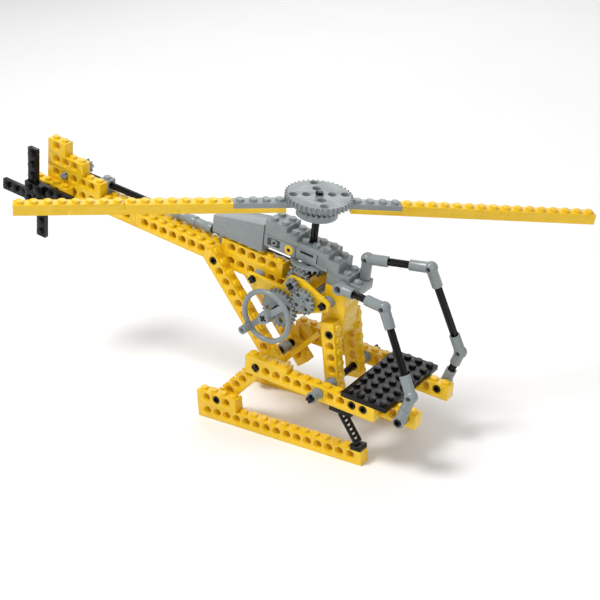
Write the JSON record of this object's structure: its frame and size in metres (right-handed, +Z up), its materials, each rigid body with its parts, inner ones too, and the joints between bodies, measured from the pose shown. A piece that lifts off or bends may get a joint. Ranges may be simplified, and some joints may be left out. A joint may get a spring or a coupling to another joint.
{
  "type": "toy helicopter",
  "caption": "Studded-beam construction toy helicopter on skids, with an open frame, long boom, hand-wheel-driven main rotor, tail rotor and geared drive shaft.",
  "frame": {"origin": "floor level, middle of the whole toy's length, midway between the skids", "axes": "+X forward, +Y to the toy's left, +Z up"},
  "size_m": [0.374, 0.2598, 0.1777],
  "materials": {
    "yellow_plastic": "moulded, glossy",
    "grey_plastic": "moulded, glossy",
    "black_plastic": "moulded, glossy"
  },
  "bodies": {
    "airframe": {"skid_right": "yellow_plastic", "skid_left": "yellow_plastic", "skid_risers": "yellow_plastic", "rear_arm_right": "yellow_plastic", "rear_arm_left": "yellow_plastic", "lower_beam_right": "yellow_plastic", "lower_beam_left": "yellow_plastic", "rear_blocks": "yellow_plastic", "seat_arm_right": "yellow_plastic", "seat_arm_left": "yellow_plastic", "seat_plate": "black_plastic", "front_cross_axle": "black_plastic", "frame_axles": "black_plastic", "axle_bushes": "grey_plastic", "column_right": "yellow_plastic", "column_left": "yellow_plastic", "diagonal_right": "yellow_plastic", "diagonal_left": "yellow_plastic", "boom_front_right": "yellow_plastic", "boom_front_left": "yellow_plastic", "boom_rear_right": "yellow_plastic", "boom_rear_left": "yellow_plastic", "boom_top_beam": "yellow_plastic", "front_pillar": "yellow_plastic", "gear_plate_right": "yellow_plastic", "gear_plate_left": "yellow_plastic", "fin_lower": "yellow_plastic", "fin_middle": "yellow_plastic", "fin_top": "yellow_plastic", "tail_bearing_beam": "yellow_plastic", "shaft_bearings": "grey_plastic", "engine_front_block": "grey_plastic", "belly_plate": "yellow_plastic", "roof_plates": "grey_plastic", "mast_bearing": "grey_plastic", "rear_fairing": "grey_plastic", "strut_chains": "black_plastic", "strut_plates": "black_plastic", "frame_pins": "black_plastic", "window_feet": "grey_plastic", "window_posts": "black_plastic", "window_elbows": "grey_plastic", "window_arms": "black_plastic"},
    "wheel": {"hand_wheel": "grey_plastic", "wheel_grip": "grey_plastic", "wheel_axle": "black_plastic", "wheel_gear": "grey_plastic"},
    "idler": {"idler_gear": "grey_plastic"},
    "lay_shaft": {"lay_axle": "black_plastic", "lay_gears": "grey_plastic"},
    "rotor": {"mast_axle": "black_plastic", "mast_crown": "grey_plastic", "rotor_crown": "grey_plastic", "rotor_disc": "grey_plastic", "blade_roots": "grey_plastic", "blade_plates": "yellow_plastic"},
    "tail_drive": {"tail_shaft": "black_plastic", "tail_shaft_gears": "grey_plastic"},
    "tail_stub_shaft": {"tail_stub": "grey_plastic"},
    "tail_propeller": {"tail_rotor": "black_plastic"}
  },
  "joints": [
    {"name": "wheel_spin", "type": "hinge", "parent": "airframe", "child": "wheel", "pos_m": [0.04046, 0, 0.08821], "axis": [0, 1, 0], "continuous": true},
    {"name": "idler_spin", "type": "hinge", "parent": "airframe", "child": "idler", "pos_m": [0.05866, 0, 0.09649], "axis": [0, 1, 0], "continuous": true},
    {"name": "lay_shaft_spin", "type": "hinge", "parent": "airframe", "child": "lay_shaft", "pos_m": [0.05105, 0, 0.10577], "axis": [0, 1, 0], "continuous": true},
    {"name": "rotor_spin", "type": "hinge", "parent": "airframe", "child": "rotor", "pos_m": [0.04929, 0, 0.09633], "axis": [0.1831, 0, 0.9831], "continuous": true},
    {"name": "tail_drive_spin", "type": "hinge", "parent": "airframe", "child": "tail_drive", "pos_m": [-0.04254, 0.004, 0.1232], "axis": [0.9831, 0, -0.1831], "continuous": true},
    {"name": "tail_stub_spin", "type": "hinge", "parent": "airframe", "child": "tail_stub_shaft", "pos_m": [-0.14478, 0, 0.14224], "axis": [0, 1, 0], "continuous": true},
    {"name": "tail_rotor_spin", "type": "hinge", "parent": "airframe", "child": "tail_propeller", "pos_m": [-0.1544, 0, 0.13427], "axis": [0, 1, 0], "continuous": true}
  ],
  "couplings": [
    {"joint": "idler_spin", "follows": "wheel_spin", "ratio": -1.5},
    {"joint": "lay_shaft_spin", "follows": "wheel_spin", "ratio": 3},
    {"joint": "rotor_spin", "follows": "wheel_spin", "ratio": 2},
    {"joint": "tail_drive_spin", "follows": "wheel_spin", "ratio": 3},
    {"joint": "tail_stub_spin", "follows": "wheel_spin", "ratio": -3},
    {"joint": "tail_rotor_spin", "follows": "wheel_spin", "ratio": 1.5}
  ]
}
